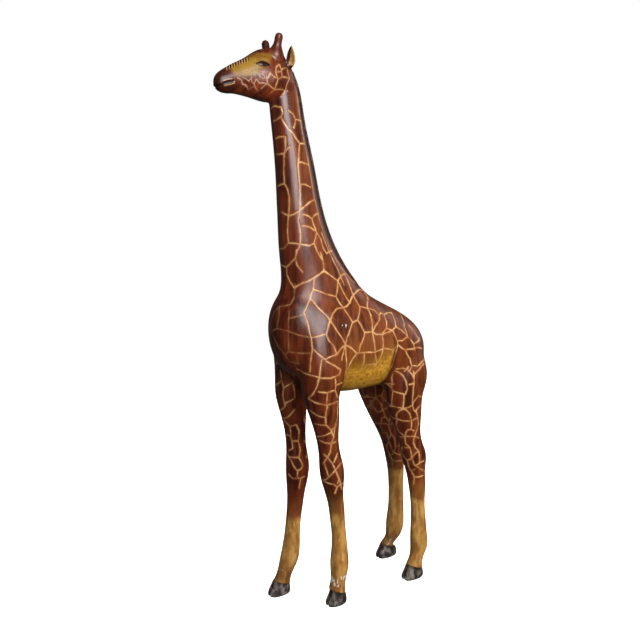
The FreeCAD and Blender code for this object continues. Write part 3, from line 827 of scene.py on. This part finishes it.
def painted_wood(name):
    """Stained, painted and varnished carving: cells, scored lines, airbrushed gold and worn feet, with painted
    shade and sheen in places.
    """
    n = Nodes(name)
    grain = n.noise(95, 4, (1, 1, 0.10))
    cloud = n.noise(22, 3, (1, 1, 0.55))
    fleck = n.noise(420, 3, (1, 1, 0.35))
    tone = n.math("ADD", n.math("MULTIPLY", grain, 0.55), n.math("MULTIPLY", cloud, 0.45))
    cell = n.mix(n.ramp(tone, 0.36, 0.58), DARK_STAIN, RED_STAIN)
    cell = n.mix(n.ramp(tone, 0.55, 0.74), cell, WARM_STAIN)
    cell = n.mix(n.math("MULTIPLY", n.attribute("muzzle"), 0.75), cell, (0.026, 0.0062, 0.003))
    # warm: the flank's warm airbrushing, and painted light on the faces turned back
    warm_paint_and_light = n.math("MULTIPLY", n.attribute("warm"), n.ramp(tone, 0.38, 0.62, 0.20, 0.72))
    cell = n.mix(warm_paint_and_light, cell, (0.165, 0.055, 0.009))
    line = n.attribute("line")
    ink = n.attribute("ink")
    width = n.ramp(n.noise(60, 2), 0.3, 0.7, 0.85, 1.75, False)
    core = n.ramp(n.math("SUBTRACT", line, width), -0.6, 0.7, 1.0, 0.0)
    halo = n.ramp(line, 1.2, 5.0, 1.0, 0.0)
    patchy = n.ramp(n.noise(75, 3), 0.30, 0.55, 0.50, 1.0)
    warm = n.math("MULTIPLY", n.math("MULTIPLY", halo, ink), 0.38)
    colour = n.mix(warm, cell, (0.25, 0.076, 0.018))
    gold = n.mix(n.ramp(n.noise(35, 4, (1, 1, 0.5)), 0.35, 0.68), BELLY_GOLD, (0.205, 0.112, 0.010))
    gold = n.mix(n.ramp(grain, 0.50, 0.72, 0.0, 0.45), gold, (0.10, 0.040, 0.006))
    gold = n.mix(n.attribute("belly"), gold, n.mix(n.ramp(n.noise(190, 5, (0.25, 0.7, 0.85)), 0.30, 0.70),
                                                   (0.215, 0.092, 0.009), (0.46, 0.245, 0.026)))
    colour = n.mix(n.attribute("gold"), colour, gold)
    tan = n.mix(n.ramp(n.noise(48, 5, (1, 1, 0.35)), 0.38, 0.62), SHIN_TAN, (0.195, 0.083, 0.016))
    tan = n.mix(n.ramp(n.noise(75, 4, (1, 1, 0.40)), 0.54, 0.68, 0.0, 0.55), tan, (0.50, 0.310, 0.105))
    tan = n.mix(n.ramp(n.noise(130, 4, (1, 1, 0.30)), 0.53, 0.68, 0.0, 0.42), tan, (0.085, 0.028, 0.007))
    colour = n.mix(n.attribute("shin"), colour, tan)
    drawn = n.math("MULTIPLY", n.math("MULTIPLY", core, patchy), ink)
    shade = n.mix(n.ramp(n.noise(45, 2), 0.35, 0.65), LINE_TAN, (0.32, 0.160, 0.056))
    shade = n.mix(n.attribute("pale_ink"), shade, (0.42, 0.31, 0.23))
    colour = n.mix(drawn, colour, shade)
    # the cheek smear: scuffs and a painted sheen
    scuffs_and_sheen = n.math("MULTIPLY", n.attribute("cheek_scuffs_and_sheen"), n.ramp(n.noise(320, 3), 0.42, 0.62, 0.18, 0.70))
    colour = n.mix(scuffs_and_sheen, colour, (0.40, 0.33, 0.29))
    # pale ticks on the nose, and the painted highlight on the nostril rims
    colour = n.mix(n.attribute("pale_marks_and_highlight"), colour, (0.42, 0.26, 0.13))
    ear = n.mix(n.ramp(grain, 0.4, 0.65), (0.40, 0.235, 0.065), (0.24, 0.115, 0.025))
    colour = n.mix(n.attribute("ear"), colour, ear)
    # the dark eye, and painted shade in the mouth and nostril
    colour = n.mix(n.attribute("slot"), colour, (0.012, 0.005, 0.003))
    hoof = n.mix(n.ramp(n.noise(85, 5, (1, 1, 0.7)), 0.42, 0.66), HOOF_GREY, (0.165, 0.145, 0.126))
    hoof = n.mix(n.ramp(n.noise(150, 4, (1, 1, 0.45)), 0.50, 0.62, 0.0, 0.8), hoof, (0.008, 0.006, 0.005))
    colour = n.mix(n.attribute("dark"), colour, hoof)
    # near-black marks, and painted shade on the nape, in the hoof clefts and in the belly fold
    colour = n.mix(n.attribute("dark_marks_and_shade"), colour, (0.018, 0.005, 0.003))
    chalk = n.math("ADD", n.math("MULTIPLY", n.attribute("worn"), 0.25), n.noise(160, 4, (1, 1, 0.42)))
    chalk = n.ramp(chalk, 0.76, 0.81)
    colour = n.mix(chalk, colour, (0.52, 0.47, 0.38))
    rough = n.ramp(fleck, 0.3, 0.7, 0.26, 0.40, False)
    rough = n.math("ADD", rough, n.math("MULTIPLY", drawn, 0.18))
    rough = n.math("ADD", rough, n.math("MULTIPLY", n.attribute("dark"), 0.12), clamp=True)
    height = n.math("ADD", n.math("MULTIPLY", grain, 0.5), n.math("MULTIPLY", fleck, 0.35))
    height = n.math("SUBTRACT", height, n.math("MULTIPLY", drawn, 0.5))
    height = n.math("ADD", height, n.math("MULTIPLY", n.noise(26, 3, (1, 1, 0.6)), 2.4))
    n.bump(height, 0.35, 0.0006)
    # the varnish is thinner in hollows, on paint and on the body than on the neck
    dull = n.math("MULTIPLY", n.attribute("slot"), 0.85)
    for zone, share in (("muzzle", 0.40), ("gold", 0.80), ("dark_marks_and_shade", 0.85)):
        dull = n.math("ADD", dull, n.math("MULTIPLY", n.attribute(zone), share))
    dull = n.math("ADD", dull, n.ramp(n.height(), 0.78, 0.67, 0.0, 0.42))
    coat = n.math("SUBTRACT", 1.0, dull, clamp=True)
    n.put(n.shader.inputs["Coat Weight"], coat)
    return n.finish(colour, rough, None, 0.28, 0.25)


def mane_wood():
    n = Nodes("mane_wood")
    strand = n.noise(320, 3, (1, 1, 0.3))
    colour = n.mix(n.ramp(strand, 0.4, 0.7), (0.016, 0.007, 0.004), (0.075, 0.042, 0.028))
    n.bump(strand, 0.4, 0.0006)
    return n.finish(colour, n.ramp(strand, 0.3, 0.7, 0.36, 0.52, False), 0.15, 0.25)


def eye_bead():
    n = Nodes("eye_bead")
    cloud = n.noise(260, 2)
    colour = n.mix(n.ramp(cloud, 0.42, 0.62), (0.010, 0.004, 0.0025), (0.085, 0.030, 0.011))
    n.bump(cloud, 0.05, 0.0002)
    return n.finish(colour, 0.22, 0.6, 0.10, 0.3)


def dowel_wood():
    n = Nodes("dowel_wood")
    grain = n.noise(120, 4, (1, 1, 0.12))
    colour = n.mix(n.ramp(grain, 0.35, 0.65), (0.36, 0.22, 0.105), (0.50, 0.33, 0.17))
    n.bump(grain, 0.2, 0.0004)
    return n.finish(colour, n.ramp(grain, 0.3, 0.7, 0.48, 0.62, False))


# ------------------------------------------------------------------ cutting the skin into its pieces
bm = bmesh.new()
bm.from_mesh(skin)


def cut(point, normal, inside):
    """Opens the skin along a plane, only among the faces whose first corner passes inside(corner)."""
    point = np.array(point, float)
    normal = np.array(normal, float) / np.linalg.norm(normal)
    geometry = set()
    for f in bm.faces:
        c = np.array(f.verts[0].co) / MM - SHIFT
        if abs((c - point) @ normal) < 6 and inside(c):
            geometry.add(f)
            geometry.update(f.edges)
            geometry.update(f.verts)
    where = (point + SHIFT) * MM
    result = bmesh.ops.bisect_plane(bm, geom=list(geometry), dist=1e-6, plane_co=where, plane_no=normal)
    seam = [e for e in result["geom_cut"] if isinstance(e, bmesh.types.BMEdge)]
    bmesh.ops.split_edges(bm, edges=seam)


for leg, (hx, hy, half) in HOOVES.items():
    (py, pz), (ny, nz) = planes[leg]
    cut((hx, py, pz), (0, ny, nz), lambda c, hx=hx, hy=hy: abs(c[0] - hx) < 40 and abs(c[1] - hy) < 50)
cut((0, 0, FRONT_JOINT), (0, 0, 1), lambda c: c[1] < 0)
cut((0, 0, REAR_JOINT), (0, 0, 1), lambda c: c[1] > 0)
cut((0, *NECK_JOINT[0]), (0, *NECK_JOINT[1]), lambda c: True)
head_normal = (0, -(NAPE[1] - THROAT[1]), NAPE[0] - THROAT[0])
cut((0, *THROAT), head_normal, lambda c: c[1] < -130)
for s in (1, -1):
    foot, axis = horn(s)
    cut(foot + axis * HORN_CUT_RISE, axis,
        lambda c, f=foot, a=axis: np.linalg.norm(c - f - a * ((c - f) @ a)) < HORN_CUT_REACH)

islands = []
unseen = set(bm.faces)
while unseen:
    start = unseen.pop()
    group, stack = [start], [start]
    while stack:
        for e in stack.pop().edges:
            for f in e.link_faces:
                if f in unseen:
                    unseen.remove(f)
                    group.append(f)
                    stack.append(f)
    islands.append(group)
index = {f: i for i, group in enumerate(islands) for f in group}
face_island = np.zeros(len(bm.faces), int)
bm.faces.ensure_lookup_table()
for i, f in enumerate(bm.faces):
    face_island[i] = index[f]
whole = bpy.data.meshes.new("carving_open")
bm.to_mesh(whole)
bm.free()


def island_mesh(number, name):
    """One island as a closed mesh: its open rims get flat caps with hard edges."""
    part = bmesh.new()
    part.from_mesh(whole)
    part.faces.ensure_lookup_table()
    bmesh.ops.delete(part, geom=[part.faces[i] for i in np.nonzero(face_island != number)[0]], context="FACES")
    rim = [e for e in part.edges if len(e.link_faces) == 1]
    for e in rim:
        e.smooth = False
    filled = bmesh.ops.holes_fill(part, edges=rim, sides=0)
    bmesh.ops.triangulate(part, faces=[f for f in filled["faces"] if len(f.verts) > 4])
    mesh = bpy.data.meshes.new(name)
    part.to_mesh(mesh)
    part.free()
    return mesh


def name_of(c):
    """The frame node that an island stands for, from its middle in drawing coordinates."""
    hand = "left" if c[0] > 0 else "right"
    end = "front" if c[1] < 0 else "rear"
    if c[2] < 45:
        return f"{end}_{hand}_hoof"
    if c[2] < 430:
        return f"{end}_{hand}_leg"
    if c[2] < 690:
        return "torso"
    if c[2] < 1040:
        return "neck"
    return "head" if abs(c[0]) < 8 else f"{hand}_horn"


SLOT = {"hoof": "hoof_wood", "horn": "horn_wood"}
wood = {name: painted_wood(name) for name in ("painted_wood", "hoof_wood", "horn_wood")}
done = {}
for number, group in enumerate(islands):
    if len(group) < 60:
        continue
    mesh = island_mesh(number, "piece")
    middle = mesh_arrays(mesh)[0].mean(0) / MM - SHIFT
    node = name_of(middle)
    if node in done:
        raise SystemExit(f"two islands stand for {node}")
    slot = SLOT.get(node.split("_")[-1], "painted_wood")
    stands_for = [node] + (["left_ear", "right_ear"] if node == "head" else [])
    done[node] = make_object(node + "_carving", mesh, wood[slot], *stands_for, slot=slot)
missing = set(CARVED) - set(done)
if missing:
    raise SystemExit(f"no island for {missing}")

# ------------------------------------------------------------------ the tail
tail = remeshed([nodes["tail"]], 0.0012, "tail")
tail_co, tail_edges = mesh_arrays(tail)
tail_co = relax(tail_co, tail_edges, 4)
tail.vertices.foreach_set("co", tail_co.astype(np.float32).ravel())
for name, value in (("line", 30.0), ("ink", 0.0)):
    put_attribute(tail, name, np.full(len(tail_co), value))
tail_z = tail_co[:, 2] / MM
put_attribute(tail, "dark", step(tail_z.min() + 60, tail_z.min() + 30, tail_z))
make_object("tail_carving", tail, wood["painted_wood"], "tail", slot="painted_wood")

# ------------------------------------------------------------------ eyes
bead = eye_bead()
for s, hand in ((1, "left"), (-1, "right")):
    at = surface.ray_cast(Vector((0, -257, 1116.5)), Vector((s, 0, 0)), 80)[0]
    bm = bmesh.new()
    bmesh.ops.create_icosphere(bm, subdivisions=5, radius=1.0)
    for v in bm.verts:
        long = v.co.y
        v.co.z *= 3.6 * (1 - 0.35 * long * long)
        v.co.y *= 10.5
        v.co.x *= 3.2
    yaw = Matrix.Rotation(math.radians(-12 * s), 4, "Z")
    bmesh.ops.transform(bm, matrix=yaw, verts=bm.verts)
    centre = (np.array((at.x - s * 3.4, -257.5, 1116.8)) + SHIFT) * MM
    bmesh.ops.transform(bm, matrix=Matrix.Translation(Vector(centre)) @ Matrix.Scale(MM, 4), verts=bm.verts)
    mesh = bpy.data.meshes.new(hand + "_eye_bead")
    bm.to_mesh(mesh)
    bm.free()
    make_object(hand + "_eye_bead", mesh, bead, hand + "_eye", slot="eye_bead")

# ------------------------------------------------------------------ CAD pieces that stay
plain = dowel_wood()
for node, finish in (("mane", mane_wood()), ("leg_dowels", plain), ("hoof_dowels", plain),
                     ("neck_dowel", plain), ("head_dowel", plain)):
    obj = nodes[node]
    obj.data.materials.clear()
    obj.data.materials.append(finish)

# ------------------------------------------------------------------ floor, light and camera
floor_mesh = bpy.data.meshes.new("floor")
bm = bmesh.new()
bmesh.ops.create_grid(bm, x_segments=2, y_segments=2, size=14.0)
bm.to_mesh(floor_mesh)
bm.free()
floor = bpy.data.objects.new("floor", floor_mesh)
bpy.context.scene.collection.objects.link(floor)
n = Nodes("floor_pale")
pale = n.mix(n.noise(3, 2), (0.84, 0.84, 0.84), (0.87, 0.87, 0.87))
floor_mesh.materials.append(n.finish(pale, 0.8, specular=0.1))
n.shader.inputs["Emission Color"].default_value = (1.0, 1.0, 1.0, 1.0)
n.shader.inputs["Emission Strength"].default_value = 0.85
floor.visible_glossy = False
floor.visible_diffuse = False

world = bpy.data.worlds.new("studio")
bpy.context.scene.world = world
world.use_nodes = True
background = world.node_tree.nodes["Background"]
background.inputs["Color"].default_value = (1.0, 1.0, 1.0, 1.0)
tree = world.node_tree
rays = tree.nodes.new("ShaderNodeLightPath")
seen_white = tree.nodes.new("ShaderNodeMapRange")
seen_white.inputs["To Min"].default_value = 0.20
seen_white.inputs["To Max"].default_value = 1.0
glossy = tree.nodes.new("ShaderNodeMapRange")
glossy.inputs["To Min"].default_value = 1.0
glossy.inputs["To Max"].default_value = 0.20
strength = tree.nodes.new("ShaderNodeMath")
strength.operation = "MULTIPLY"
tree.links.new(rays.outputs["Is Camera Ray"], seen_white.inputs["Value"])
tree.links.new(rays.outputs["Is Glossy Ray"], glossy.inputs["Value"])
tree.links.new(seen_white.outputs[0], strength.inputs[0])
tree.links.new(glossy.outputs[0], strength.inputs[1])
tree.links.new(strength.outputs[0], background.inputs["Strength"])


def soft_light(name, place, aim, size, power, colour=(1, 1, 1)):
    data = bpy.data.lights.new(name, "AREA")
    data.shape = "RECTANGLE"
    data.size, data.size_y = size
    data.energy = power
    data.color = colour
    light = bpy.data.objects.new(name, data)
    bpy.context.scene.collection.objects.link(light)
    light.location = place
    light.rotation_euler = (Vector(aim) - Vector(place)).to_track_quat("-Z", "Y").to_euler()
    return light


MIDDLE = (0.0, 0.0, 0.65)
soft_light("key", (2.10, -0.68, 1.80), MIDDLE, (1.7, 1.6), 62, (1.0, 0.98, 1.0))
soft_light("rim", (0.10, 2.60, 1.55), MIDDLE, (1.4, 1.6), 5, (1.0, 0.98, 1.0))
fill_light = soft_light("fill", (2.2, -0.5, 1.3), MIDDLE, (1.6, 1.6), 34, (1.0, 0.91, 0.82))
fill_light.visible_glossy = False
side_light = soft_light("side", (1.9, 1.6, 1.2), MIDDLE, (1.0, 1.6), 50, (1.0, 0.92, 0.82))
side_light.visible_glossy = False
far_light = soft_light("far_side", (-2.2, 1.0, 1.4), MIDDLE, (1.6, 1.8), 44, (1.0, 0.95, 0.88))
far_light.visible_glossy = False
top_light = soft_light("top", (0.4, -0.3, 3.0), MIDDLE, (1.6, 1.6), 24)
top_light.visible_glossy = False

camera_data = bpy.data.cameras.new("camera")
camera_data.sensor_width = 36.0
camera_data.lens = 36.0
camera = bpy.data.objects.new("camera", camera_data)
bpy.context.scene.collection.objects.link(camera)
camera.location = Vector((1117.13, -827.75, 735.0)) * MM
pitch, heading = math.radians(4.9), math.radians(35.5)
look = Vector((-math.cos(heading) * math.cos(pitch), math.sin(heading) * math.cos(pitch), -math.sin(pitch)))
camera.rotation_euler = look.to_track_quat("-Z", "Y").to_euler()
bpy.context.scene.camera = camera
bpy.context.scene.view_settings.view_transform = "Standard"
